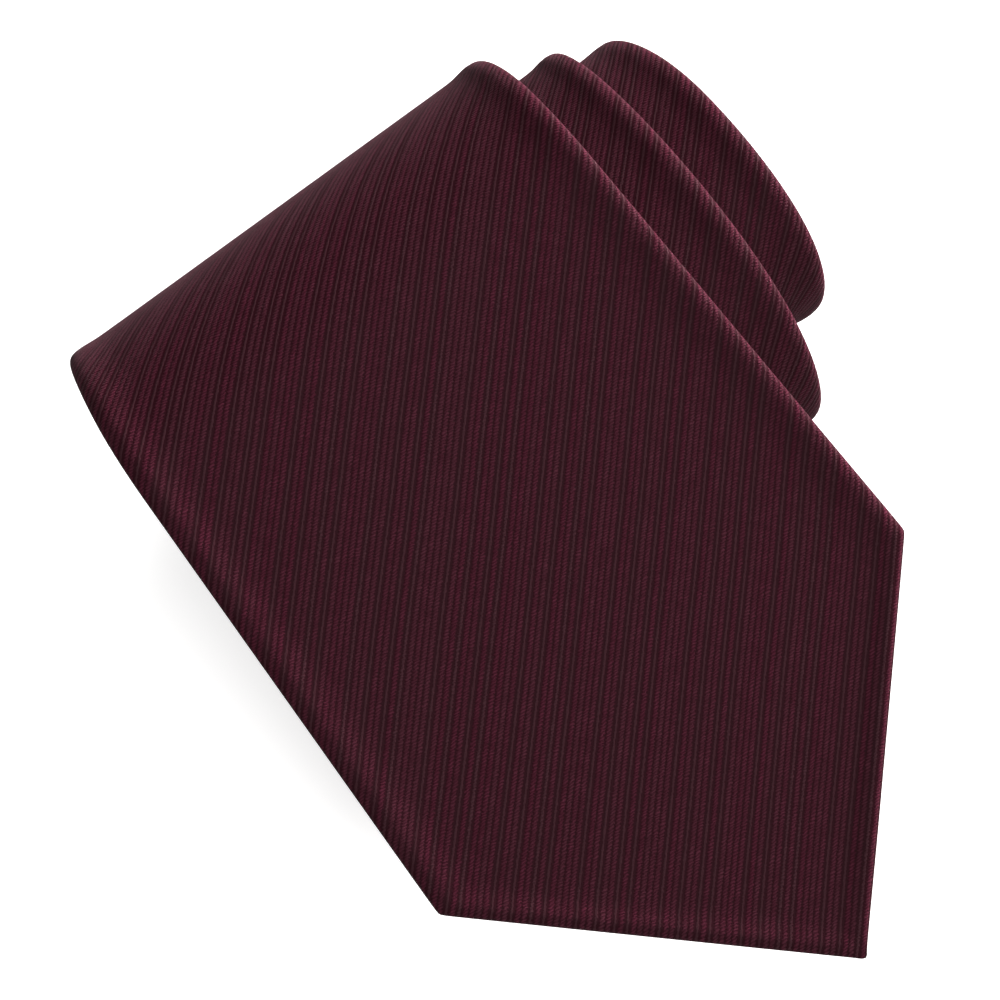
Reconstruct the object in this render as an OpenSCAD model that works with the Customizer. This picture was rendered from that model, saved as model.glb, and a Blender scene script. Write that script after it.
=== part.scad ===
// Necktie, rolled up from its narrow end with the wide blade lying over the roll.
// Millimetres. +X runs along the blade towards its point, +Y along the axis of the roll
// towards the side where the inner turns stand out, +Z up. The origin is the middle of
// the flat underside of the roll, on the surface that the tie lies on.

/* [Widths] */
// Width of the blade at its two corners
blade_w = 90; // [70:1:110]
// Width of the tie where it is narrowest
neck_w = 36; // [30:1:42]
// Width of the tail at its two corners
tail_w = 44; // [38:1:56]
// Distance from the blade's point to where the neck begins
blade_len = 700; // [600:10:800]
// Length of the tail, over which it widens again
tail_len = 330; // [250:10:400]

/* [Layers] */
// Thickness of the whole band: front, interlining and back
band_t = 1.6; // [1.3:0.1:1.6]
// Thickness of the shell cloth
cloth_t = 0.35; // [0.25:0.05:0.4]
// Thickness of the lining cloth at the two points
tipping_t = 0.15; // [0.1:0.05:0.2]
// Clearance between one layer and the next
layer_gap = 0.06; // [0.04:0.01:0.1]
// Gap between the two back flaps, which the slip stitch closes
seam_gap = 0.6; // [0.5:0.1:1.0]
// Thickness of the thread of the seams
thread_t = 0.3; // [0.2:0.05:0.35]

/* [Points] */
// Width of the hem folded back round the blade's point
blade_hem = 12; // [8:1:16]
// Length of closed seam between the blade's open mouth and the bend
seam_before_bend = 11.5; // [9.5:0.5:24]
// Width of the hem folded back round the tail's point
tail_hem = 7; // [5:1:10]
// Distance from the tail's point to where its back flaps meet
tail_open = 55; // [45:1:70]

/* [Panels] */
// Length of tie that the panels and tapers are cut for; they follow the length that is rolled
plan_len = 1339; // [1250:1:1450]
// Length of the blade panel of the shell
blade_panel = 640; // [560:10:700]
// Length of the neck panel of the shell
neck_panel = 330; // [260:10:400]

/* [Keeper] */
// How far round the bend the keeper loop lies, in degrees past the top of the bend
keeper_turn = 76.5; // [65:0.5:90]
// Clearance between the keeper loop and the first turn behind it
keeper_clear = 1.03; // [0.3:0.01:1.5]
// Width of the keeper loop along the tie
keeper_w = 11; // [8:1:14]
// Length of the keeper loop across the tie
keeper_len = 46; // [38:1:56]
// Thickness of the keeper loop, cloth folded double
keeper_t = 0.7; // [0.5:0.1:0.8]
// Room under the keeper loop for the tail
keeper_room = 0.8; // [0.6:0.1:1.0]

/* [Roll] */
// Slope of the blade from the bend down to its point
blade_slope = 25; // [22:0.5:28]
// Clearance between the underside of the blade and the first turn below it
blade_gap = 0.75; // [0.6:0.05:1.5]
// Half the height of the first inner turn
turn_rise = 21.8; // [18:0.1:24]
// Clearance between one turn and the next, above and below
turn_gap = 0.4; // [0.35:0.05:0.7]
// Clearance between one turn and the next at their round ends, once wound tight
end_gap = 0.62; // [0.45:0.01:0.8]
// How much further the outermost turns reach, because they are wound loosely
loose_reach = 45; // [20:1:46]
// Number of turns over which the winding grows tight
loose_turns = 1.45; // [1.4:0.05:1.6]
// Half the length of the innermost turn
core_reach = 11; // [10:0.5:12]
// Gap through the middle of the innermost turn
core_gap = 1; // [0.8:0.1:2]
// Radius of the round ends of the turns, where the winding begins
round_end = 10.9; // [9:0.1:12]
// Sideways drift of the band for each millimetre of its length
drift_rate = 0.11; // [0:0.01:0.12]
// Distance from the blade's point to where the sideways drift ends
drift_end = 493; // [440:1:560]

/* [Smoothness] */
// Angle between one ring of points and the next
ring_step = 12; // [9, 12, 15]

/* [Hidden] */
blade_colour = [0.23, 0.11, 0.14];
lining_colour = [0.27, 0.07, 0.11];
wool_colour = [0.85, 0.83, 0.78];
thread_colour = [0.30, 0.10, 0.14];

// Half the gap left at the hinge line, so that the lifted blade clears the roll
hinge_gap = 0.15;
// Half the gap between two panels, and half the length of the seam that fills it
panel_gap = 0.3;
panel_seam = 0.2;
// Length over which the sideways drift starts and stops
drift_ease = 16;
// Where the first ring of a point lies, past its very tip
tip_start = 2;
// Bar tacks, across and along the tie, and their clearance from the cloth
tack_w = 8;
tack_l = 1.4;
tack_t = 0.2;
tack_gap = 0.05;
// Length of the keeper loop's ends that lie flat on the tie
keeper_end = 5;

// ---- the route of the band, as [x, z, angle] of its outer surface ----

turn_pitch = band_t + turn_gap;
core_rise = band_t + core_gap / 2;
turns = 0.5 + (turn_rise - core_rise) / turn_pitch;
turn_reach = core_reach + (band_t + end_gap) * turns;
turn_bulge = core_rise + turn_pitch * turns - round_end;

// Half height, bulge and half length of the roll after a number of turns
function rise(turn) = turn_rise - turn_pitch * (turn - 0.5);
function bulge(turn) = turn_bulge * pow(max(0, 1 - turn / turns), 2);
function reach(turn) = core_reach + (turn_reach - core_reach) * max(0, 1 - turn / turns)
    + loose_reach * pow(max(0, 1 - turn / loose_turns), 2);

// Distance from the middle of the roll to the line that touches it at an angle
function touch(a) =
    let (turn = a / 360, round_r = rise(turn) - bulge(turn), side = reach(turn) - round_r)
    round_r + norm([side * sin(a), bulge(turn) * cos(a)]);
function touch_rate(a) = (touch(a + 0.5) - touch(a - 0.5)) * 180 / PI;

// The flat underside is as long as the keeper loop needs to clear the turn behind it
under_blade = touch(360 - blade_slope) + band_t + blade_gap + turn_rise * cos(blade_slope);
bend_share = (1 + cos(keeper_turn)) / (1 + cos(blade_slope));
flat_run = (touch(360 + keeper_turn) + band_t + keeper_t + keeper_room + keeper_clear
    + turn_rise * cos(keeper_turn) - under_blade * bend_share)
    / (sin(keeper_turn) + sin(blade_slope) * bend_share);
bend_x = -flat_run / 2;
roll_x = flat_run / 2;

// The bend is as wide as the blade needs to clear the turn below it
bend_r = (under_blade + flat_run * sin(blade_slope)) / (1 + cos(blade_slope));
function bend_point(a) = [bend_x - bend_r * sin(a), bend_r + bend_r * cos(a), a];
function turn_point(a) =
    [
        roll_x - touch(a) * sin(a) - touch_rate(a) * cos(a),
        turn_rise + touch(a) * cos(a) - touch_rate(a) * sin(a),
        a
    ];

// The hinge line lies where the straight blade meets the bend
hinge_x = bend_point(-blade_slope)[0];
hinge_z = bend_point(-blade_slope)[1];
flap_len = (hinge_z - band_t * cos(blade_slope)) / sin(blade_slope);
point_x = hinge_x + flap_len * cos(blade_slope);
point_z = hinge_z - flap_len * sin(blade_slope);

bend_steps = ceil((180 + blade_slope) / ring_step);
turn_steps = ceil((turns - 0.5) * 360 / ring_step);
route = concat(
    [[point_x, point_z, -blade_slope]],
    [for (i = [0:bend_steps]) bend_point(-blade_slope + (180 + blade_slope) * i / bend_steps)],
    [for (i = [0:turn_steps]) turn_point(180 + (turns - 0.5) * 360 * i / turn_steps)]
);
last = len(route) - 1;
steps = [for (i = [1:last]) norm([route[i][0] - route[i - 1][0], route[i][1] - route[i - 1][1]])];
// Length along the band from the blade's point to each point of the route
along = [for (i = 0, sum = 0; i <= last; sum = sum + (i < last ? steps[i] : 0), i = i + 1) sum];
tie_len = along[last];
facet_at = along[bend_steps + 1] + flat_run / 2;
cut = tie_len / plan_len;
blade_taper = blade_len * cut;
tail_taper = tail_len * cut;
blade_open = flap_len - seam_before_bend;
keeper_at = flap_len + bend_r * (blade_slope + keeper_turn) * PI / 180;

// A point of the route at a length along the band
function route_at(s) =
    let (
        i = max([for (j = [0:last - 1]) if (along[j] <= s) j]),
        part = (s - along[i]) / (along[i + 1] - along[i])
    )
    route[i] + (route[i + 1] - route[i]) * part;

// Sideways place of the middle of the band
function ease(s) = s <= 0 ? 0 : s < drift_ease ? s * s / (2 * drift_ease) : s - drift_ease / 2;
function drift_from(s) = drift_rate * (ease(s - flap_len) - ease(s - drift_end));
function drift(s) = drift_from(s) - drift_from(facet_at);

// The point at u across the band and h below its outer surface
function place(at, s, u, h) =
    [at[0] + h * sin(at[2]), drift(s) + u, at[1] - h * cos(at[2])];

// ---- the outline of the flat tie ----

// Half the width of the tie
function half_w(s) =
    s < blade_w / 2 ? s :
    s > tie_len - tail_w / 2 ? tie_len - s :
    s < blade_taper ? (blade_w + (neck_w - blade_w) * (s - blade_w / 2) / (blade_taper - blade_w / 2)) / 2 :
    s > tie_len - tail_taper ? (neck_w + (tail_w - neck_w) * (s - tie_len + tail_taper)
        / (tail_taper - tail_w / 2)) / 2 :
    neck_w / 2;

// Half the width left open between the back flaps, at a distance from a point
function mouth(s, corner, hem, open) =
    let (hem_u = hem * sqrt(2), wide = corner - hem_u)
    max(seam_gap / 2, s < corner ? s - hem_u : wide * (open - s) / (open - corner));
function half_mouth(s) =
    s < blade_open ? mouth(s, blade_w / 2, blade_hem, blade_open) :
    s > tie_len - tail_open ? mouth(tie_len - s, tail_w / 2, tail_hem, tail_open) :
    seam_gap / 2;

// ---- cross-sections, as [u, h] points whose two halves face each other ----

function shell_section(s) =
    let (w = half_w(s), m = half_mouth(s), t = band_t, c = cloth_t)
    [
        [-m, t], [-w, t], [-w, 0], [w, 0], [w, t], [m, t],
        [m, t - c], [w - c, t - c], [w - c, c], [-w + c, c], [-w + c, t - c], [-m, t - c]
    ];
function flat_section(w, top, under) = [[-w, top], [w, top], [w, under], [-w, under]];
function inner_w(s) = half_w(s) - cloth_t - layer_gap;
lining_top = band_t - cloth_t - layer_gap - tipping_t;
wool_top = cloth_t + layer_gap;
wool_under = band_t - cloth_t - layer_gap;
wool_under_lining = lining_top - layer_gap;

// The rings of points from mark to mark along the band
function span(a, b) = concat([a], [for (s = along) if (s > a + 0.3 && s < b - 0.3) s]);
function stops(marks) =
    concat([for (i = [0:len(marks) - 2]) each span(marks[i], marks[i + 1])], [marks[len(marks) - 1]]);
function ring(s, section) = let (at = route_at(s)) [for (p = section) place(at, s, p[0], p[1])];

// A closed solid through rings whose points pair up front to back
module through(rings) {
    n = len(rings[0]);
    end = len(rings) - 1;
    points = [for (r = rings) each r];
    sides = [
        for (i = [0:end - 1], j = [0:n - 1])
            let (a = i * n + j, b = i * n + (j + 1) % n)
                each [[a, b + n, b], [a, a + n, b + n]]
    ];
    first_cap = [for (j = [0:n / 2 - 2]) each [[j, j + 1, n - 2 - j], [j, n - 2 - j, n - 1 - j]]];
    last_cap = [for (f = first_cap) [f[0] + end * n, f[2] + end * n, f[1] + end * n]];
    polyhedron(points, concat(sides, first_cap, last_cap));
}

module shell(marks) {
    color(blade_colour) through([for (s = stops(marks)) ring(s, shell_section(s))]);
}

module layer(marks, top, under, tone) {
    color(tone) through([for (s = stops(marks)) ring(s, flat_section(inner_w(s), top, under))]);
}

// A short thread bar across the back seam
module bar_tack(s) {
    top = band_t + tack_gap;
    section = flat_section(tack_w / 2, top, top + tack_t);
    color(thread_colour) through([ring(s - tack_l / 2, section), ring(s + tack_l / 2, section)]);
}

// ---- the shell cloth ----

neck_at = blade_panel * cut;
tail_at = (blade_panel + neck_panel) * cut;
blade_corner = blade_w / 2;
tail_corner = tie_len - tail_w / 2;
hem_from = blade_hem * sqrt(2) + seam_gap / 2;
tail_hem_to = tie_len - tail_hem * sqrt(2) - seam_gap / 2;
lining_from = tip_start + 2 * cloth_t;
lining_to = blade_open + 5;
tail_lining_from = tie_len - tail_open - 5;

module blade_shell() {
    shell([tip_start, hem_from, blade_corner, blade_open, flap_len - hinge_gap]);
}

module blade_shell_rolled() {
    shell([flap_len + hinge_gap, neck_at - panel_gap]);
}

module neck_shell() {
    shell([neck_at + panel_gap, tail_at - panel_gap]);
}

module tail_shell() {
    shell([tail_at + panel_gap, tie_len - tail_open, tail_corner, tail_hem_to, tie_len - tip_start]);
}

// ---- what the shell is folded round ----

module blade_interlining() {
    layer([lining_from, blade_corner, lining_to], wool_top, wool_under_lining, wool_colour);
}

module blade_interlining_rolled() {
    layer([flap_len + hinge_gap, neck_at - panel_gap], wool_top, wool_under, wool_colour);
}

module neck_interlining() {
    layer([neck_at + panel_gap, tail_lining_from - layer_gap], wool_top, wool_under, wool_colour);
}

module tail_interlining() {
    layer([tail_lining_from, tail_corner, tie_len - lining_from], wool_top, wool_under_lining, wool_colour);
}

module blade_tipping() {
    layer([lining_from, blade_corner, lining_to], lining_top, wool_under, lining_colour);
}

module tail_tipping() {
    layer([tail_lining_from, tail_corner, tie_len - lining_from], lining_top, wool_under, lining_colour);
}

// ---- the seams and stitches ----

module panel_join(s) {
    ends = [s - panel_seam, s + panel_seam];
    color(thread_colour) through([for (e = ends) ring(e, shell_section(e))]);
}

module neck_join() {
    panel_join(neck_at);
}

module tail_join() {
    panel_join(tail_at);
}

module slip_stitch() {
    section = flat_section(thread_t / 2, band_t - thread_t, band_t - layer_gap);
    marks = [flap_len + 2 * hinge_gap, tie_len - tail_open - tack_l];
    color(thread_colour) through([for (s = stops(marks)) ring(s, section)]);
}

module blade_bar_tack() {
    bar_tack(blade_open + tack_l);
}

module tail_bar_tack() {
    bar_tack(tie_len - tail_open - tack_l);
}

// ---- the keeper loop across the back of the blade ----

keeper_a = keeper_at - keeper_w / 2;
keeper_b = keeper_at + keeper_w / 2;

// A point of the straight strip between the keeper's two long edges
function keeper_point(part, u, h) =
    place(route_at(keeper_a), keeper_a, u, h) * (1 - part) + place(route_at(keeper_b), keeper_b, u, h) * part;
function keeper_ring(u, lift) =
    let (top = band_t + layer_gap + lift)
    [
        keeper_point(1, u, top), keeper_point(0, u, top),
        keeper_point(0, u, top + keeper_t), keeper_point(1, u, top + keeper_t)
    ];

module keeper_loop() {
    half = keeper_len / 2;
    flat = half - keeper_end;
    raised = flat - keeper_end;
    color(blade_colour) through([
        keeper_ring(-half, 0), keeper_ring(-flat, 0), keeper_ring(-raised, keeper_room),
        keeper_ring(raised, keeper_room), keeper_ring(flat, 0), keeper_ring(half, 0)
    ]);
}

// A row of stitches on one end of the keeper loop
module keeper_tack(side) {
    u = side * (keeper_len - keeper_end) / 2;
    top = band_t + 2 * layer_gap + keeper_t;
    inset = tack_l / keeper_w;
    color(thread_colour) through([
        for (part = [inset, 1 - inset])
            [
                keeper_point(part, u - tack_l / 2, top), keeper_point(part, u + tack_l / 2, top),
                keeper_point(part, u + tack_l / 2, top + tack_t), keeper_point(part, u - tack_l / 2, top + tack_t)
            ]
    ]);
}

module keeper_tack_left() {
    keeper_tack(-1);
}

module keeper_tack_right() {
    keeper_tack(1);
}

blade_shell();
blade_shell_rolled();
neck_shell();
tail_shell();
blade_interlining();
blade_interlining_rolled();
neck_interlining();
tail_interlining();
blade_tipping();
tail_tipping();
neck_join();
tail_join();
slip_stitch();
blade_bar_tack();
tail_bar_tack();
keeper_loop();
keeper_tack_left();
keeper_tack_right();
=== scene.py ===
# %% [markdown]
# # A rolled necktie
#
# A necktie is one long band of cloth, folded round a strip of wool and sewn up the back.
# Here it lies rolled up from its narrow end, with the wide blade over the top of the roll.
# Every layer of it follows one route, so the whole tie is built from three things: the route,
# the outline of the flat tie, and a cross-section that is swept along the route.
# Lengths are worked out in millimetres, as a tie maker would measure them, and are turned
# to metres only where a point is placed.

# %% Load the frame
import math

import bpy
import numpy as np
from mathutils import Matrix, Vector


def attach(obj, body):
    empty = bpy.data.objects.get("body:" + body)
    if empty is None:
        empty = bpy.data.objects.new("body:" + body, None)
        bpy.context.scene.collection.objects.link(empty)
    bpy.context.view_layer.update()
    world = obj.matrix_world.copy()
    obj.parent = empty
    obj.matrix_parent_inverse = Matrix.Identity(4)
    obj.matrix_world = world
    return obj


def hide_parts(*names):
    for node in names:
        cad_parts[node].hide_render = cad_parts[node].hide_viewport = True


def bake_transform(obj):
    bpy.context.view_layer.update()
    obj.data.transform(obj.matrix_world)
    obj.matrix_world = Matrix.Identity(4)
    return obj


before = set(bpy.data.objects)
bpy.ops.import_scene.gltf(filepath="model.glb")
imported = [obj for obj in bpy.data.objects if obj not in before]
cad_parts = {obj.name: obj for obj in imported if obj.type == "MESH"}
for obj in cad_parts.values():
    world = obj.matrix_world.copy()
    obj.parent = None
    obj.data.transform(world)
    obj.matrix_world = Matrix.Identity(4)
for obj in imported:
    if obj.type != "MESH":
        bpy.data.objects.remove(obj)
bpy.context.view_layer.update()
MM = 0.001

# %% [markdown]
# ## The sizes of the tie
#
# These are the measures of the flat tie and of the roll that it is wound into, the same ones
# that its plain solid model is built from. The cloth is a third of a millimetre thick and the
# wool about twice that, which makes a band of 1.6 mm.

# %% The sizes, in millimetres
# the flat tie: widths, tapers, layers, hems and panels
BLADE_W, NECK_W, TAIL_W = 90.0, 36.0, 44.0
BLADE_LEN, TAIL_LEN = 700.0, 330.0
BAND_T, CLOTH_T, TIPPING_T, LAYER_GAP = 1.6, 0.35, 0.15, 0.06
BLADE_HEM, TAIL_HEM, TAIL_OPEN = 12.0, 7.0, 55.0
BLADE_PANEL, NECK_PANEL = 640.0, 330.0
SEAM_GAP, PANEL_GAP = 0.3, 0.25
# the keeper loop, and how far the back's mouth and the loop lie from the fold of the blade
KEEPER_W, KEEPER_LEN, KEEPER_T, KEEPER_ROOM, KEEPER_END = 11.0, 46.0, 0.7, 0.8, 5.0
MOUTH_BEFORE_FOLD, KEEPER_PAST_FOLD = 11.5, 47.5
# the roll: the blade's slope in degrees, the turns, the loose outer turns, the core, the drift
BLADE_SLOPE, BLADE_GAP, FLAT_RUN = 25.0, 0.75, 8.4
TURN_RISE, TURN_GAP, END_GAP, TURN_BULGE = 21.8, 0.4, 0.62, 11.9
LOOSE_REACH, LOOSE_TURNS, CORE_REACH, CORE_GAP = 45.0, 1.45, 11.0, 1.0
DRIFT_RATE, DRIFT_END, DRIFT_EASE = 0.11, 493.0, 16.0
TURN_PITCH = BAND_T + TURN_GAP
TURNS = 0.5 + (TURN_RISE - BAND_T - CORE_GAP / 2) / TURN_PITCH
TURN_REACH = CORE_REACH + (BAND_T + END_GAP) * TURNS

# %% [markdown]
# ## The route of the band
#
# The blade lies straight, then bends round the far end of the roll in an arc, runs along the
# table, and winds inwards in flattened turns. Each turn is given by how far its tangent line
# lies from the middle of the roll at every angle. Winding turns that way keeps them a fixed
# distance apart, as layers of cloth are, which plain nested ellipses don't.
# The route is sampled closely once, and everything else looks its points up by length.

# %% Work out the route
BEND_STEPS, WINDING_STEPS, ANGLE_STEP = 320, 9000, 0.005


def touch(a):
    """Distance from the middle of the roll to the line that touches the winding at an angle."""
    turn = np.degrees(a) / 360
    left = np.maximum(0, 1 - turn / TURNS)
    bulge = TURN_BULGE * left**2
    loose = LOOSE_REACH * np.maximum(0, 1 - turn / LOOSE_TURNS) ** 2
    reach = CORE_REACH + (TURN_REACH - CORE_REACH) * left + loose
    round_r = TURN_RISE - TURN_PITCH * (turn - 0.5) - bulge
    return round_r + np.hypot((reach - round_r) * np.sin(a), bulge * np.cos(a))


slope = math.radians(BLADE_SLOPE)
under_blade = float(touch(2 * math.pi - slope)) + BAND_T + BLADE_GAP
bend_rise = under_blade + FLAT_RUN * math.sin(slope) + TURN_RISE * math.cos(slope)
bend_r = bend_rise / (1 + math.cos(slope))
bend_a = np.linspace(-slope, math.pi, BEND_STEPS)
bend = np.stack([
    -FLAT_RUN / 2 - bend_r * np.sin(bend_a),
    bend_r + bend_r * np.cos(bend_a),
    bend_a,
], 1)
turn_a = np.linspace(math.pi, 2 * math.pi * TURNS, WINDING_STEPS)
out = touch(turn_a)
rate = (touch(turn_a + ANGLE_STEP) - touch(turn_a - ANGLE_STEP)) / (2 * ANGLE_STEP)
winding = np.stack([
    FLAT_RUN / 2 - out * np.sin(turn_a) - rate * np.cos(turn_a),
    TURN_RISE + out * np.cos(turn_a) - rate * np.sin(turn_a),
    turn_a,
], 1)
flap_len = (bend[0, 1] - BAND_T * math.cos(slope)) / math.sin(slope)
blade_tip = [bend[0, 0] + flap_len * math.cos(slope), bend[0, 1] - flap_len * math.sin(slope), -slope]
route = np.vstack([[blade_tip], bend, winding])
along = np.concatenate([[0], np.cumsum(np.hypot(*np.diff(route[:, :2], axis=0).T))])
tie_len = along[-1]
facet_at = along[len(bend)] + FLAT_RUN / 2
blade_open, keeper_at = flap_len - MOUTH_BEFORE_FOLD, flap_len + KEEPER_PAST_FOLD
print(f"the tie is {tie_len:.0f} mm long, and its blade lies {flap_len:.0f} mm down from the roll")


def drift(s):
    """How far the middle of the band has moved sideways, along the axis of the roll."""
    def eased(x):
        return np.where(x <= 0, 0, np.where(x < DRIFT_EASE, x * x / (2 * DRIFT_EASE), x - DRIFT_EASE / 2))

    def total(x):
        x = np.asarray(x, float)
        return DRIFT_RATE * (eased(x - flap_len) - eased(x - DRIFT_END))

    return total(s) - total(facet_at)


def place(s, u, h):
    """Points at length s along the tie, u across it and h below its outer face, in metres."""
    s, u, h = np.broadcast_arrays(np.asarray(s, float), u, h)
    past = np.minimum(s, 0.0)
    x, z, a = (np.interp(s, along, route[:, k]) for k in range(3))
    x = x - past * math.cos(slope)
    z = z + past * math.sin(slope)
    return np.stack([x + h * np.sin(a), drift(s) + u, z - h * np.cos(a)], -1) * MM


# %% [markdown]
# ## The outline of the flat tie
#
# Each end comes to a right-angled point, and between its corners and the neck the tie narrows
# in a straight line. On the back, the two flaps meet along the middle, and open into a mouth
# near each point where the lining shows. The tips and the corners of sewn cloth are never
# quite sharp, so both are eased by about a millimetre.

# %% The outline
NUB_R = 0.9
CORNER_EASE = 0.35
TIP_FLARE = 0.045


def point_w(s):
    """Half the width near a point of the tie, whose tip is turned to a small round nub."""
    middle = NUB_R * math.sqrt(2)
    round_w = np.sqrt(np.maximum(0, NUB_R**2 - (np.minimum(s, middle) - middle) ** 2))
    return np.where(s < middle - NUB_R / math.sqrt(2), round_w, s)


def soft_min(a, b, ease):
    """The lesser of two lengths, with the change from one to the other rounded off."""
    return 0.5 * (a + b - np.sqrt((a - b) ** 2 + ease**2))


def half_w(s):
    """Half the width of the tie at a length along it."""
    s = np.asarray(s, float)
    marks = [0, BLADE_W / 2, BLADE_LEN, tie_len - TAIL_LEN, tie_len - TAIL_W / 2, tie_len]
    # the straight edge carries on a little wider past the corner, where the point cuts it off
    past_corner = BLADE_W * (1 + TIP_FLARE * BLADE_W / BLADE_LEN)
    widths = [past_corner, BLADE_W, NECK_W, NECK_W, TAIL_W, TAIL_W]
    body = np.interp(s, marks, widths) / 2
    return soft_min(soft_min(body, point_w(s), CORNER_EASE), point_w(tie_len - s), CORNER_EASE)


def mouth(s):
    """Half the width left open between the two back flaps."""
    def near(d, corner, hem, opening):
        wide = corner - hem * math.sqrt(2)
        closing = wide * (opening - d) / (opening - corner)
        edge = np.where(d < corner, d - hem * math.sqrt(2), closing)
        return np.maximum(SEAM_GAP / 2, edge)

    s = np.asarray(s, float)
    blade = near(s, BLADE_W / 2, BLADE_HEM, blade_open)
    tail = near(tie_len - s, TAIL_W / 2, TAIL_HEM, TAIL_OPEN)
    return np.where(s < tie_len / 2, blade, tail)


NUB_ZONE, NUB_STEP = 1.5, 0.12
TIP_ZONE, TIP_STEP = 6, 0.5
LAST_STEP = 0.2
CORNER_ROWS = (-0.6, -0.2, 0, 0.2, 0.6)


def rows_between(a, b, step):
    """Lengths along the tie for the rings of a piece, closer together near the points."""
    s = [a]
    while s[-1] < b - LAST_STEP:
        from_tip = min(s[-1], tie_len - s[-1])
        if from_tip < NUB_ZONE:
            ahead = NUB_STEP
        elif from_tip < TIP_ZONE:
            ahead = TIP_STEP
        else:
            ahead = min(step, 1.0 + from_tip / 40)
        s.append(min(b, s[-1] + ahead))
    corners = [c + d for c in (BLADE_W / 2, tie_len - TAIL_W / 2) for d in CORNER_ROWS]
    return np.unique(s + [c for c in corners if a < c < b])


# %% [markdown]
# ## Making a mesh from rows of points
#
# Each layer is a grid of points, so one helper turns a grid into a mesh. It also stores each
# point's place on the flat cloth as a UV map in metres. The weave is drawn from that map, so
# the ribs run round the folded edges and round the roll without a break, as cut cloth's do.

# %% Mesh helpers
def show(name, verts, faces, uvs=None):
    """A smooth mesh object in the scene, with its cloth map when it has one."""
    mesh = bpy.data.meshes.new(name)
    mesh.from_pydata([tuple(v) for v in verts], [], faces)
    if uvs is not None:
        layer = mesh.uv_layers.new(name="cloth")
        corner = np.empty(len(mesh.loops), np.int32)
        mesh.loops.foreach_get("vertex_index", corner)
        layer.data.foreach_set("uv", np.asarray(uvs, np.float32)[corner].ravel())
    mesh.polygons.foreach_set("use_smooth", [True] * len(mesh.polygons))
    mesh.validate()
    made = bpy.data.objects.new(name, mesh)
    bpy.context.scene.collection.objects.link(made)
    return made


def grid(name, points, uvs, closed=False):
    """A mesh from rows of points; closed joins each row's end to its start and caps the ends."""
    rows, cols = points.shape[:2]
    faces = []
    for i in range(rows - 1):
        for j in range(cols if closed else cols - 1):
            k = (j + 1) % cols
            faces.append((i * cols + j, i * cols + k, (i + 1) * cols + k, (i + 1) * cols + j))
    if closed:
        faces.append(tuple(reversed(range(cols))))
        faces.append(tuple((rows - 1) * cols + j for j in range(cols)))
    return show(name, points.reshape(-1, 3), faces, uvs.reshape(-1, 2))


def thicken(made, thickness):
    """Gives a sheet its thickness, on the side away from its outer face."""
    solid = made.modifiers.new("thickness", "SOLIDIFY")
    solid.thickness = thickness * MM
    solid.offset = -1
    depsgraph = bpy.context.evaluated_depsgraph_get()
    flat_mesh = made.data
    made.data = bpy.data.meshes.new_from_object(made.evaluated_get(depsgraph))
    made.data.name = made.name
    made.modifiers.clear()
    bpy.data.meshes.remove(flat_mesh)


# %% [markdown]
# ## Colours and nodes
#
# Colours are written as the hex values that a colour card gives, and one function turns them
# to the linear values that the shaders work in. One more function adds a shader node, and the
# rest are the short steps that every cloth shares: its map, noise, a mix, and its relief.

# %% Colour and node helpers
def linear(hex_colour):
    """sRGB hex to a linear RGBA colour."""
    parts = [int(hex_colour[i:i + 2], 16) / 255 for i in (1, 3, 5)]
    return (*[p / 12.92 if p <= 0.04045 else ((p + 0.055) / 1.055) ** 2.4 for p in parts], 1)


def add(tree, kind, inputs=None, **settings):
    """Adds a node, sets its settings, and fills its inputs with values or with other sockets."""
    made = tree.nodes.new(kind)
    for key, value in settings.items():
        setattr(made, key, value)
    for key, value in (inputs or {}).items():
        if isinstance(value, bpy.types.NodeSocket):
            tree.links.new(value, made.inputs[key])
        else:
            made.inputs[key].default_value = value
    return made


def new_material(name):
    """A material, its node tree and the shader in it."""
    material = bpy.data.materials.new(name)
    material.use_nodes = True
    shader = material.node_tree.nodes["Principled BSDF"]
    return material, material.node_tree, shader


def set_inputs(node, values):
    """Fills a node's inputs with plain values."""
    for key, value in values.items():
        node.inputs[key].default_value = value


def mix_colour(tree, factor, first, second):
    """Mixes two colours, each a hex value or a socket."""
    first, second = (linear(c) if isinstance(c, str) else c for c in (first, second))
    return add(tree, "ShaderNodeMix", {"Factor": factor, "A": first, "B": second},
               data_type="RGBA").outputs["Result"]


def noise(tree, cloth, scale, detail):
    """Noise over the flat cloth, in steps per metre."""
    return add(tree, "ShaderNodeTexNoise",
               {"Vector": cloth, "Scale": scale, "Detail": detail}).outputs["Fac"]


def cloth_map(tree):
    return add(tree, "ShaderNodeUVMap", uv_map="cloth").outputs[0]


def finish_surface(tree, shader, tone, height, relief_mm, strength):
    """Joins a colour and a bump of so many millimetres to the shader."""
    bump = add(tree, "ShaderNodeBump",
               {"Strength": strength, "Distance": relief_mm * MM, "Height": height}).outputs[0]
    tree.links.new(tone, shader.inputs["Base Color"])
    tree.links.new(bump, shader.inputs["Normal"])
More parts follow.
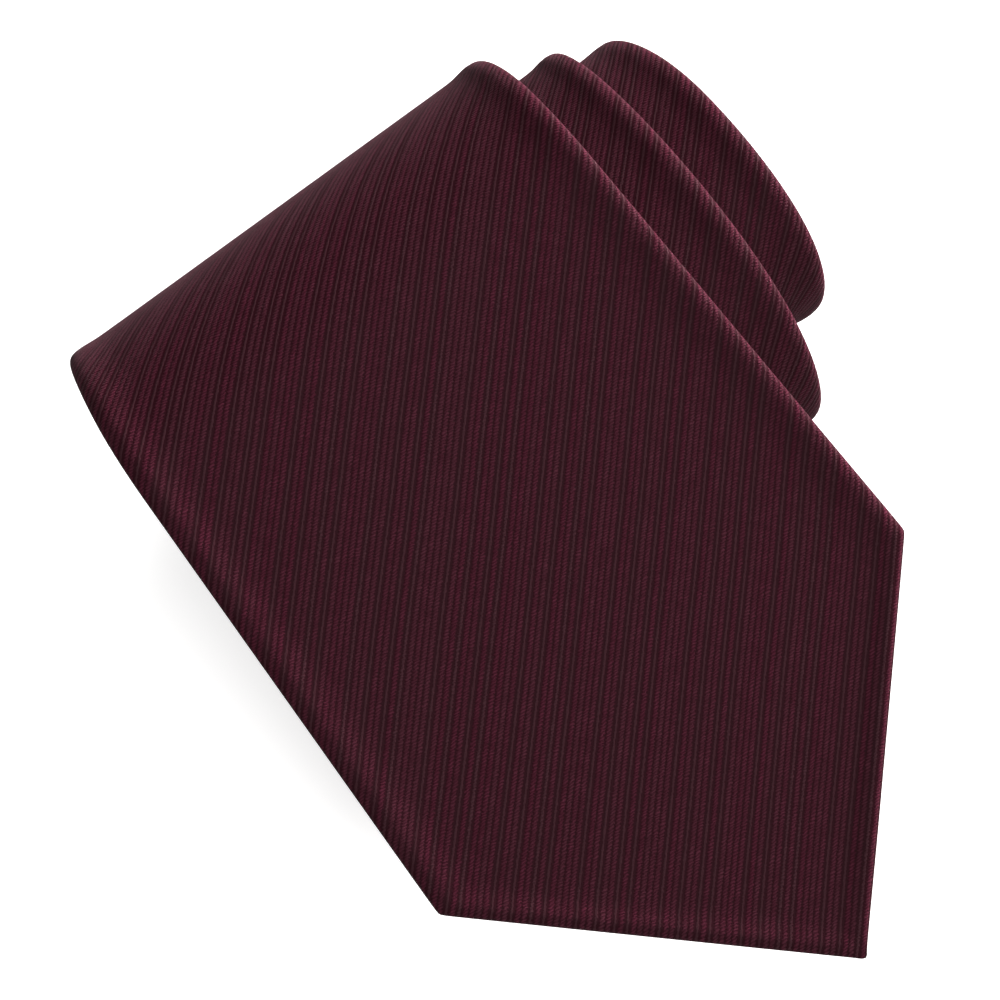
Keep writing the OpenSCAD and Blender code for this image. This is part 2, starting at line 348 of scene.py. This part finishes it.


# %% [markdown]
# ## The shell cloth: a ribbed silk twill
#
# The cloth is woven in ribs just under a millimetre wide. It is cut on the bias, so the ribs
# lie at 45 degrees to the tie. Most ribs are burgundy, and in every thirteen there are four
# thin dark grey ones. Along each rib the weft shows as short slanting floats, a little over
# half a millimetre apart, which is what breaks up the shine.
# The ribs could be modelled, but at a millimetre they are a matter of shading, so they are
# computed from the flat map as height and colour together. The colour also carries a painted
# highlight on the top of each float and painted shade down in the grooves.

# %% Ribbed silk
RIB_MM = 0.94
FLOAT_MM = 0.52
REPEAT = 13.0
FIRST_GREY, MORE_GREYS = 0.0, (2.0, 5.0, 8.0)
FLOAT_SLANT = 1.3
RIB_RELIEF_MM = 0.22
# the float colours are a painted highlight on the tops of the floats, and the groove colour is painted
# shade down between the ribs
BURGUNDY_HEX, FLOAT_HIGHLIGHT_HEX = "#370f1b", "#4d1d2c"
GREY_HEX, GREY_FLOAT_HIGHLIGHT_HEX = "#371c22", "#45272e"
GROOVE_SHADE_HEX = "#280a12"


def ribbed_silk():
    material, tree, shader = new_material("ribbed_silk_twill")

    def math_node(operation, *values, clamp=False):
        return add(tree, "ShaderNodeMath", dict(enumerate(values)),
                   operation=operation, use_clamp=clamp).outputs[0]

    cloth = cloth_map(tree)
    # a slow wander keeps the ribs from being ruler straight
    wander = noise(tree, cloth, 22.0, 1.0)
    flat = add(tree, "ShaderNodeSeparateXYZ", {"Vector": cloth})
    across = math_node("MULTIPLY", math_node("SUBTRACT", flat.outputs[0], flat.outputs[1]),
                       1 / (math.sqrt(2) * RIB_MM * MM))
    across = math_node("ADD", across, math_node("MULTIPLY", wander, 0.9))
    # and a fine fuzz roughens their edges
    fuzz = noise(tree, cloth, 2200.0, 2.0)
    across = math_node("ADD", across, math_node("MULTIPLY", fuzz, 0.45))
    length = math_node("MULTIPLY", math_node("ADD", flat.outputs[0], flat.outputs[1]),
                       1 / (math.sqrt(2) * FLOAT_MM * MM))
    rib = math_node("FLOOR", across)
    part = math_node("FRACT", across)
    chance = add(tree, "ShaderNodeTexWhiteNoise", {"W": rib}, noise_dimensions="1D").outputs["Value"]

    # the warp repeats every thirteen ribs, and four of them are grey
    group = math_node("FLOOR", math_node("DIVIDE", rib, REPEAT))
    in_group = math_node("SUBTRACT", rib, math_node("MULTIPLY", group, REPEAT))
    grey = math_node("COMPARE", in_group, FIRST_GREY, 0.4)
    for place_in_group in MORE_GREYS:
        grey = math_node("MAXIMUM", grey, math_node("COMPARE", in_group, place_in_group, 0.4))

    # the slanting floats along a rib, uneven as spun yarn is, and fainter on the grey ribs
    yarn = noise(tree, cloth, 700.0, 2.0)
    step = math_node("ADD", math_node("ADD", length, math_node("MULTIPLY", part, FLOAT_SLANT)),
                     math_node("MULTIPLY", chance, 7.0))
    step = math_node("ADD", step, math_node("MULTIPLY", yarn, 1.5))
    wave = math_node("SINE", math_node("MULTIPLY", step, 2 * math.pi))
    wave = math_node("MULTIPLY_ADD", wave, 0.5, 0.5)
    slub = math_node("GREATER_THAN", chance, 0.7)
    faint = math_node("MULTIPLY", grey, math_node("MULTIPLY_ADD", slub, -0.45, 0.75))
    floats = math_node("MULTIPLY", wave, math_node("SUBTRACT", 1.0, faint))

    # the round top of a rib, narrower when it is grey, and pinched between two floats
    width = math_node("MULTIPLY_ADD", grey, -0.3, 1.0)
    width = math_node("MULTIPLY", width, math_node("MULTIPLY_ADD", floats, 0.36, 0.62))
    off_middle = math_node("MULTIPLY", math_node("ABSOLUTE", math_node("SUBTRACT", part, 0.5)), 2.0)
    inside = math_node("MINIMUM", math_node("DIVIDE", off_middle, width), 1.0)
    dome = math_node("SQRT", math_node("SUBTRACT", 1.0, math_node("MULTIPLY", inside, inside)))
    height = math_node("MULTIPLY", dome, math_node("MULTIPLY_ADD", floats, 0.45, 0.55))

    # colour: painted shade deep in the groove, burgundy or grey on the rib, and a painted highlight on
    # the top of each float
    greyness = math_node("MAXIMUM", grey, math_node("MULTIPLY", chance, 0.45))
    rib_tone = mix_colour(tree, greyness, BURGUNDY_HEX, GREY_HEX)
    lit_tone = mix_colour(tree, greyness, FLOAT_HIGHLIGHT_HEX, GREY_FLOAT_HIGHLIGHT_HEX)
    patch = noise(tree, cloth, 420.0, 3.0)
    lit = math_node("MULTIPLY", math_node("MULTIPLY", floats, dome),
                    math_node("MULTIPLY_ADD", patch, 2.4, -0.4), clamp=True)
    tone = mix_colour(tree, lit, rib_tone, lit_tone)
    tone = mix_colour(tree, dome, GROOVE_SHADE_HEX, tone)

    finish_surface(tree, shader, tone, height, RIB_RELIEF_MM, 0.7)
    set_inputs(shader, {
        "Roughness": 0.6, "Specular IOR Level": 0.06,
        "Sheen Weight": 0.05, "Sheen Roughness": 0.3, "Sheen Tint": linear("#d9a3b0"),
    })
    return material


silk = ribbed_silk()
print("made", silk.name)

# %% [markdown]
# ## The hidden materials: lining satin, wool and thread
#
# The points are lined with a plain satin, smooth enough to shine in one broad band. The
# interlining is a brushed natural wool, which is what gives a tie its body. The thread is
# three-ply silk, twisted, and dyed to the cloth.

# %% Satin, wool and thread
def plain_cloth(name, tone_hex, dark_hex, thread_mm, relief_mm, roughness, sheen):
    """A plain weave or a brushed cloth, from two crossed sets of threads of one spacing."""
    material, tree, shader = new_material(name)
    cloth = cloth_map(tree)
    turned = add(tree, "ShaderNodeMapping",
                 {"Vector": cloth, "Rotation": (0, 0, math.pi / 4)}).outputs[0]
    scale = 1 / (20 * thread_mm * MM) * 6.28
    bands = [
        add(tree, "ShaderNodeTexWave",
            {"Vector": turned, "Scale": scale, "Distortion": 0.6, "Detail": 1.0},
            bands_direction=direction).outputs["Fac"]
        for direction in "XY"
    ]
    weave = add(tree, "ShaderNodeMath", {0: bands[0], 1: bands[1]}, operation="MULTIPLY").outputs[0]
    fibre = noise(tree, cloth, 1500.0, 3.0)
    relief = add(tree, "ShaderNodeMath", {0: weave, 1: fibre}, operation="ADD").outputs[0]
    tone = mix_colour(tree, fibre, dark_hex, tone_hex)
    finish_surface(tree, shader, tone, relief, relief_mm, 0.6)
    set_inputs(shader, {"Roughness": roughness, "Sheen Weight": sheen})
    return material


satin = plain_cloth("lining_satin", "#5a1c2b", "#431320", 0.25, 0.03, 0.34, 0.1)
wool = plain_cloth("brushed_wool", "#dcd6c6", "#c2baa6", 0.8, 0.15, 0.9, 0.4)


def twisted_thread():
    """Silk thread, whose plies show as slanting bands along it."""
    material, tree, shader = new_material("silk_thread")
    plies = add(tree, "ShaderNodeTexWave",
                {"Vector": cloth_map(tree), "Scale": 300.0, "Distortion": 0.4},
                bands_direction="DIAGONAL").outputs["Fac"]
    # the colour follows the twist: painted shade in the hollows between the plies and a painted highlight
    # on their tops
    tone = mix_colour(tree, plies, "#3c1520", "#6d3040")
    finish_surface(tree, shader, tone, plies, 0.05, 0.6)
    set_inputs(shader, {"Roughness": 0.42})
    return material


thread = twisted_thread()
print("made", satin.name, wool.name, thread.name)

# %% [markdown]
# ## The folded shell
#
# The shell is one cloth, folded so that its edges meet along the middle of the back. Its
# cross-section is a flattened loop: a nearly flat front, two soft round edges, and two flaps.
# A tie is never pressed flat, so its edges stay plump where the cloth turns round the wool.
# It could be folded by simulation, but a sweep gives clean edges and a map that stays true.

# %% The shell's cross-section
FRONT_COLS, EDGE_COLS, BACK_COLS = 26, 11, 14
EDGE_DEPTH = 1.5
# how far an edge swells, how far in from the fold, over what width, and how far inside the roll
PLUMP, PLUMP_AT, PLUMP_WIDE, PLUMP_INSIDE = 0.5, 2.2, 2.3, 0.1
# the half-width from which an edge swells fully, and below which it swells less
FULL_PLUMP_W = 12
# the flaps dip a little at the seam, and a narrow tip keeps its edges and mouth inside its width
LIP_DROP, LIP_W = 0.12, 0.8
EDGE_SHARE, MOUTH_SHARE = 0.45, 0.98
# the right edge lies free as far as this along the tie, and is covered beyond it
FREE_RIGHT_TO = 530.0


def half_section(s, plump):
    """Across, depth and flat-cloth distance from the middle of the front round to the seam."""
    w, m = half_w(s)[:, None], mouth(s)[:, None]
    depth = np.minimum(EDGE_DEPTH, EDGE_SHARE * w)
    inner = w - depth
    m = np.minimum(m, inner * MOUTH_SHARE)
    turn = np.linspace(0, math.pi, EDGE_COLS + 2)[1:-1][None, :]
    u_front = inner * np.sin(np.linspace(0, 1, FRONT_COLS + 1) * math.pi / 2)[None, :]
    swell = np.exp(-(((w - u_front - PLUMP_AT) / PLUMP_WIDE) ** 2))
    h_front = -plump[:, None] * np.minimum(1, w / FULL_PLUMP_W) * swell
    u_edge = inner + depth * np.sin(turn)
    h_edge = BAND_T / 2 * (1 - np.cos(turn)) + h_front[:, -1:] * (0.5 + 0.5 * np.cos(turn))
    u_back = inner + (m - inner) * np.linspace(0, 1, BACK_COLS)[None, :]
    lip = np.clip(1 - (u_back - m) / LIP_W, 0, 1) ** 2
    h_back = BAND_T - LIP_DROP * lip + 0 * w
    u = np.hstack([u_front, u_edge, u_back])
    h = np.hstack([h_front, h_edge, h_back])
    steps = np.hypot(np.diff(u, axis=1), np.diff(h, axis=1))
    v = np.concatenate([0 * w, np.cumsum(steps, axis=1)], axis=1)
    return u, h, v


def shell_rows(s):
    """The shell's whole outer face. Its edges are plump wherever no other turn lies on them."""
    # where the band rests on the table its front is pressed flat
    pressed = [facet_at - 60, facet_at - 40, facet_at + 35, facet_at + 55]
    table = np.interp(s, pressed, [1, 0, 0, 1])
    free_left = table * np.interp(s, [flap_len, flap_len + 60], [PLUMP, PLUMP_INSIDE])
    free_right = table * np.interp(s, [FREE_RIGHT_TO - 40, FREE_RIGHT_TO], [PLUMP, PLUMP_INSIDE])
    (ul, hl, vl), (ur, hr, vr) = half_section(s, free_left), half_section(s, free_right)
    return (
        np.hstack([-ul[:, :0:-1], ur]),
        np.hstack([hl[:, :0:-1], hr]),
        np.hstack([-vl[:, :0:-1], vr]),
    )


def folded_shell(name, a, b, step=1.6):
    """One panel of the shell between two lengths, swept as its folded cross-section."""
    s = rows_between(a, b, step)
    u, h, v = shell_rows(s)
    lengths = np.repeat(s[:, None], u.shape[1], axis=1)
    made = grid(name, place(lengths, u, h), np.stack([lengths, v], -1) * MM)
    made.data.materials.append(silk)
    thicken(made, CLOTH_T)
    return made


# %% [markdown]
# ## The panels of the shell
#
# A tie's shell is pieced from three panels, because a bias cut a metre and a half long would
# waste cloth. The blade panel is made here in two lengths that meet under the roll: the first
# is the blade lying over the roll, and the rest lies still in the roll.

# %% Blade, neck and tail panels
UNDER_ROOM, PARTING = 1.0, 0.02
under_at = along[len(bend)] - UNDER_ROOM
point_start = NUB_R * math.sqrt(2) - NUB_R + 0.01
neck_at, tail_at = BLADE_PANEL, BLADE_PANEL + NECK_PANEL

blade_cloth = folded_shell("blade_cloth", point_start, under_at)
rolled_cloth = folded_shell("blade_cloth_rolled", under_at + PARTING, neck_at - PANEL_GAP)
neck_cloth = folded_shell("neck_cloth", neck_at + PANEL_GAP, tail_at - PANEL_GAP,
                          2.0)
tail_cloth = folded_shell("tail_cloth", tail_at + PANEL_GAP, tie_len - point_start,
                          1.5)
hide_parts("blade_shell")
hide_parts("blade_shell_rolled")
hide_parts("neck_shell")
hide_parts("tail_shell")
for piece in (rolled_cloth, neck_cloth, tail_cloth):
    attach(piece, "roll")

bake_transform(blade_cloth)

# %% [markdown]
# ## The wool interlining and the lining
#
# The wool is cut to the finished shape of the tie, and the cloth is folded round it. Near each
# point it thins to leave room for the lining, a satin piece tucked under the hems.
# Both are swept along the same route, at their own depth in the band.

# %% Inner layers
WOOL_TOP = CLOTH_T + LAYER_GAP
WOOL_UNDER = BAND_T - CLOTH_T - LAYER_GAP
LINING_TOP = WOOL_UNDER - TIPPING_T
LAYER_INSET = 1.4
LINING_TUCK = 5
INNER_START = 3.2
PUCKER_ACROSS, PUCKER_ALONG = 5.0, 9.0
lining_to = blade_open + LINING_TUCK
tail_lining_from = tie_len - TAIL_OPEN - LINING_TUCK


def inner_layer(name, a, b, top, under, material, slot, cols=24, pucker=0.0):
    """A closed flat strip inside the shell, between two depths that may change along it."""
    s = rows_between(a, b, 2.0)
    w = np.maximum(0.2, half_w(s) - LAYER_INSET)[:, None]
    across = np.linspace(-1, 1, cols)[None, :]
    u_top, u_under = w * across, w * across[:, ::-1]
    tops = np.broadcast_to(np.asarray(top(s), float)[:, None], u_top.shape)
    ripple = np.sin(u_under / PUCKER_ACROSS + s[:, None] / PUCKER_ALONG)
    waves = pucker * ripple * (1 - across**2)
    unders = np.broadcast_to(np.asarray(under(s), float)[:, None], u_under.shape)
    u = np.hstack([u_top, u_under])
    h = np.hstack([tops + waves[:, ::-1], unders + waves])
    lengths = np.repeat(s[:, None], u.shape[1], axis=1)
    made = grid(name, place(lengths, u, h), np.stack([lengths, u], -1) * MM, closed=True)
    made.data.materials.append(material)
    return made


def wool_under(s):
    """The depth of the wool's back, which is less where the lining lies behind it."""
    room = TIPPING_T + LAYER_GAP
    near = np.clip(lining_to + 1 - s, 0, 1) + np.clip(s - tail_lining_from + 1, 0, 1)
    return WOOL_UNDER - room * np.clip(near, 0, 1)


def level(depth):
    return lambda s: np.full(len(s), depth)


def wool_strip(name, a, b):
    return inner_layer(name, a, b, level(WOOL_TOP), wool_under, wool, "wool_interlining")


def lining_piece(name, a, b, **shape):
    return inner_layer(name, a, b, level(LINING_TOP), level(WOOL_UNDER), satin,
                       "tipping_satin", **shape)


# the neck's wool and the tail's wool meet a little before the tail's lining begins
blade_wool = wool_strip("blade_wool", INNER_START, under_at)
rolled_wool = wool_strip("blade_wool_rolled", under_at + PARTING, neck_at - PANEL_GAP)
neck_wool = wool_strip("neck_wool", neck_at + PANEL_GAP, tail_lining_from - 1.5)
tail_wool = wool_strip("tail_wool", tail_lining_from - 1.2, tie_len - INNER_START)
blade_lining = lining_piece("blade_lining", INNER_START, lining_to, cols=40, pucker=0.03)
tail_lining = lining_piece("tail_lining", tail_lining_from, tie_len - INNER_START)
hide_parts("blade_interlining")
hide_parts("blade_interlining_rolled")
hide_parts("neck_interlining")
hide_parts("tail_interlining")
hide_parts("blade_tipping")
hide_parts("tail_tipping")
for piece in (rolled_wool, neck_wool, tail_wool, tail_lining):
    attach(piece, "roll")
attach(blade_lining, "blade")
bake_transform(blade_wool)

# %% [markdown]
# ## Thread
#
# All the sewing is the same: a thin tube that follows a few points. One helper makes any
# number of such tubes as one mesh, and the slip stitch, the bar tacks and the stitches of the
# keeper are each given as the points that the thread passes through.

# %% A helper for stitches
THREAD_R = 0.14
TUBE_SIDES = 6
# no stitch runs along this direction, so it can set which way a tube's sides face
ODD_WAY = [0.31, 0.17, 0.93]


def stitches(name, paths, node, body):
    """Thread along each path, a list of (s, u, h) points in millimetres."""
    verts, faces, uvs = [], [], []
    for path in paths:
        points = place(*np.asarray(path, float).T)
        heading = np.gradient(points, axis=0)
        heading /= np.linalg.norm(heading, axis=1)[:, None]
        side = np.cross(heading, ODD_WAY)
        side /= np.linalg.norm(side, axis=1)[:, None]
        up = np.cross(heading, side)
        base, run = len(verts), 0.0
        for i, p in enumerate(points):
            run += 0 if i == 0 else float(np.linalg.norm(p - points[i - 1]))
            for k in range(TUBE_SIDES):
                a = 2 * math.pi * k / TUBE_SIDES
                verts.append(p + THREAD_R * MM * (math.cos(a) * side[i] + math.sin(a) * up[i]))
                uvs.append((run, THREAD_R * MM * a))
        for i in range(len(points) - 1):
            for k in range(TUBE_SIDES):
                n = (k + 1) % TUBE_SIDES
                q = base + i * TUBE_SIDES
                faces.append((q + k, q + n, q + TUBE_SIDES + n, q + TUBE_SIDES + k))
        last = base + (len(points) - 1) * TUBE_SIDES
        faces.append(tuple(base + k for k in reversed(range(TUBE_SIDES))))
        faces.append(tuple(last + k for k in range(TUBE_SIDES)))
    made = show(name, verts, faces, uvs)
    made.data.materials.append(thread)
    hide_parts(node)
    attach(made, body)
    print(f"{name}: {len(paths)} stitches")


# %% [markdown]
# ## The slip stitch, bar tacks and panel seams
#
# The back is closed by hand with one long loose thread. It crosses from flap to flap every few
# millimetres and is left slack, so that the tie can stretch when it is knotted. A bar tack at
# each end, a dense little bar of satin stitch, keeps the seam from opening.

# %% Sewing
STITCH_STEP = 7.0
ON_SEAM, IN_SEAM = BAND_T - 0.02, BAND_T - 0.12
TACK_ROWS = np.linspace(-0.7, 0.7, 6)
TACK_HALF_W = (3.6, 3.9, 3.8, 4.0, 3.7, 3.9)
TACK_BACK = 1.4
SEAM_INSET, SEAM_STITCH, SEAM_STEP = 2.2, 1.6, 2.2

seam_s = np.arange(flap_len + 2, tie_len - TAIL_OPEN - 3, STITCH_STEP)
slip = []
for n, s in enumerate(seam_s):
    sign = 1 if n % 2 else -1
    slip.append([
        (s, -0.45 * sign, IN_SEAM), (s + 0.5, -0.3 * sign, ON_SEAM), (s + 1.4, 0.0, ON_SEAM),
        (s + 2.3, 0.3 * sign, ON_SEAM), (s + 2.8, 0.45 * sign, IN_SEAM),
    ])
stitches("slip_stitch_thread", slip, "slip_stitch", "roll")


def bar(s):
    """A bar of satin stitches across the seam."""
    top = BAND_T + 0.2
    return [
        [(s + d, -w, top - 0.12), (s + d, -w + 0.4, top), (s + d + 0.1, 0, top + 0.03),
         (s + d, w - 0.4, top), (s + d, w, top - 0.12)]
        for d, w in zip(TACK_ROWS, TACK_HALF_W)
    ]


stitches("blade_tack_thread", bar(blade_open + TACK_BACK), "blade_bar_tack", "blade")
stitches("tail_tack_thread", bar(tie_len - TAIL_OPEN - TACK_BACK), "tail_bar_tack", "roll")


def seam_row(s):
    """The row of small stitches that joins two panels, seen down in the seam on the front."""
    w = float(half_w(s)) - SEAM_INSET
    return [
        [(s - 0.05, u, 0.15), (s, u + SEAM_STITCH / 2, 0.08), (s + 0.05, u + SEAM_STITCH, 0.15)]
        for u in np.arange(-w, w - SEAM_STITCH, SEAM_STEP)
    ]


stitches("neck_seam_thread", seam_row(neck_at), "neck_join", "roll")
stitches("tail_seam_thread", seam_row(tail_at), "tail_join", "roll")

# %% [markdown]
# ## The keeper loop
#
# Across the back of the blade lies a narrow loop of the same silk, folded double. The tail is
# tucked through it when the tie is worn. It is sewn down at both ends and stands off the tie
# in between, so it is swept across the tie rather than along it.

# %% Keeper loop
KEEPER_SIDES = 20


def keeper():
    """The loop, swept across the tie from one sewn end to the other."""
    half = KEEPER_LEN / 2
    sewn = half - KEEPER_END
    u = np.concatenate([
        np.linspace(-half, -sewn, 5),
        np.linspace(-sewn, sewn, 31)[1:-1],
        np.linspace(sewn, half, 5),
    ])
    rise = np.clip((half - KEEPER_END - np.abs(u)) / KEEPER_END, 0, 1)
    lift = KEEPER_ROOM * rise**2 * (3 - 2 * rise)
    ring_a = -np.linspace(0, 2 * math.pi, KEEPER_SIDES, endpoint=False)
    bow = KEEPER_T / 2
    side = np.clip(np.cos(ring_a) * 1.9, -1, 1) * (KEEPER_W / 2 - bow) + np.cos(ring_a) * bow
    deep = np.clip(np.sin(ring_a) * 3, -1, 1) * bow
    ends = [keeper_at - KEEPER_W / 2, keeper_at + KEEPER_W / 2]
    part = (side / KEEPER_W + 0.5)[None, :, None]
    h = (BAND_T + LAYER_GAP + bow + lift)[:, None] + deep[None, :]
    u_rows = np.repeat(u[:, None], KEEPER_SIDES, 1)
    low, high = (place(np.full_like(h, e), u_rows, h) for e in ends)
    points = low * (1 - part) + high * part
    uvs = np.stack(np.broadcast_arrays(side[None, :] + 3.0, u[:, None]), -1) * MM
    made = grid("keeper_strip", points, uvs, closed=True)
    made.data.materials.append(silk)
    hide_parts("keeper_loop")
    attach(made, "roll")


keeper()
keeper_top = BAND_T + LAYER_GAP + KEEPER_T + 0.2
row_s = np.arange(keeper_at - KEEPER_W / 2 + 1.2, keeper_at + KEEPER_W / 2 - 2.4, 2.1)
for side_name, sign in (("left", -1), ("right", 1)):
    u0 = sign * (KEEPER_LEN - KEEPER_END) / 2
    row = [
        [(s, u0 - 0.15, keeper_top - 0.1), (s + 0.8, u0, keeper_top + 0.05),
         (s + 1.6, u0 + 0.15, keeper_top - 0.1)]
        for s in row_s
    ]
    stitches(f"keeper_{side_name}_thread", row, f"keeper_tack_{side_name}", "roll")

# %% [markdown]
# ## Floor and light
#
# The tie lies on a plain pale floor. A broad soft light hangs over it, and a low one from the
# side rims the folded edges. Silk seen against a low light shines like metal, so most of that
# light is kept out of the reflections, and a weak rim light in the same place gives the shine.

# %% Floor and light
FLOOR_HALF, FLOOR_Z, FLOOR_GLOW = 3.0, -0.0002, 0.65
SIDE_WAY, SIDE_AWAY, SIDE_SIZE = (-0.12, 1.0, 0.06), 0.8, 0.3
SIDE_POWER, RIM_POWER = 41, 9
OVERHEAD_WAY, OVERHEAD_AWAY, OVERHEAD_SIZE, OVERHEAD_POWER = (0.5, 0.1, 1.0), 1.2, 0.8, 9.3
ROOM_LIGHT = 0.2
LIT_POINT = Vector((0.03, 0, 0.02))

floor_material, _, floor_shader = new_material("pale_floor")
set_inputs(floor_shader, {
    "Base Color": linear("#f4f3f2"), "Roughness": 0.9,
    "Emission Color": linear("#ffffff"), "Emission Strength": FLOOR_GLOW,
})
floor_corners = [(-1, -1), (1, -1), (1, 1), (-1, 1)]
floor = show("floor", [(x * FLOOR_HALF, y * FLOOR_HALF, FLOOR_Z) for x, y in floor_corners],
             [(0, 1, 2, 3)])
floor.data.materials.append(floor_material)
floor.visible_glossy = False


def soft_light(name, toward, distance, size, power):
    """A round soft light that looks at the tie from a direction."""
    lamp = bpy.data.lights.new(name, "AREA")
    lamp.shape = "DISK"
    lamp.size = size
    lamp.energy = power
    made = bpy.data.objects.new(name, lamp)
    bpy.context.scene.collection.objects.link(made)
    made.location = LIT_POINT + Vector(toward).normalized() * distance
    made.rotation_euler = (LIT_POINT - made.location).to_track_quat("-Z", "Y").to_euler()
    return made


soft_light("overhead", OVERHEAD_WAY, OVERHEAD_AWAY, OVERHEAD_SIZE, OVERHEAD_POWER)
side_light = soft_light("side", SIDE_WAY, SIDE_AWAY, SIDE_SIZE, SIDE_POWER)
side_light.visible_glossy = False
soft_light("rim", SIDE_WAY, SIDE_AWAY, SIDE_SIZE, RIM_POWER)

world = bpy.data.worlds.new("studio")
bpy.context.scene.world = world
world.use_nodes = True
set_inputs(world.node_tree.nodes["Background"], {"Color": linear("#ffffff"), "Strength": ROOM_LIGHT})
bpy.context.scene.view_settings.view_transform = "Standard"

# %% [markdown]
# ## Camera
#
# The camera looks down from above the blade's point, as one looks at a tie on a table. It is
# given by the direction it looks in, its tilt about that direction and its distance, so it can
# be moved nearer without turning the picture.

# %% Camera
CAMERA_AZ, CAMERA_EL, CAMERA_ROLL, CAMERA_AWAY, CAMERA_LENS = 65.2, 62.8, -15.4, 0.3163, 71.7
CAMERA_SHIFT = (-0.0107, -0.0631)
AIM = Vector((0.020, 0, 0.020))

az, el, roll = (math.radians(a) for a in (CAMERA_AZ, CAMERA_EL, CAMERA_ROLL))
look = Vector((-math.sin(az) * math.cos(el), math.cos(az) * math.cos(el), -math.sin(el)))
level_right = Vector((math.cos(az), math.sin(az), 0))
level_up = level_right.cross(look)
right = level_right * math.cos(roll) + level_up * math.sin(roll)
up = level_up * math.cos(roll) - level_right * math.sin(roll)

camera_data = bpy.data.cameras.new("camera")
camera_data.lens = CAMERA_LENS
camera_data.sensor_width = 36
camera_data.shift_x, camera_data.shift_y = CAMERA_SHIFT
camera_data.clip_start = 0.01
camera = bpy.data.objects.new("camera", camera_data)
bpy.context.scene.collection.objects.link(camera)
turned = Matrix((right, up, -look)).transposed().to_4x4()
camera.matrix_world = Matrix.Translation(AIM - look * CAMERA_AWAY) @ turned
bpy.context.scene.camera = camera
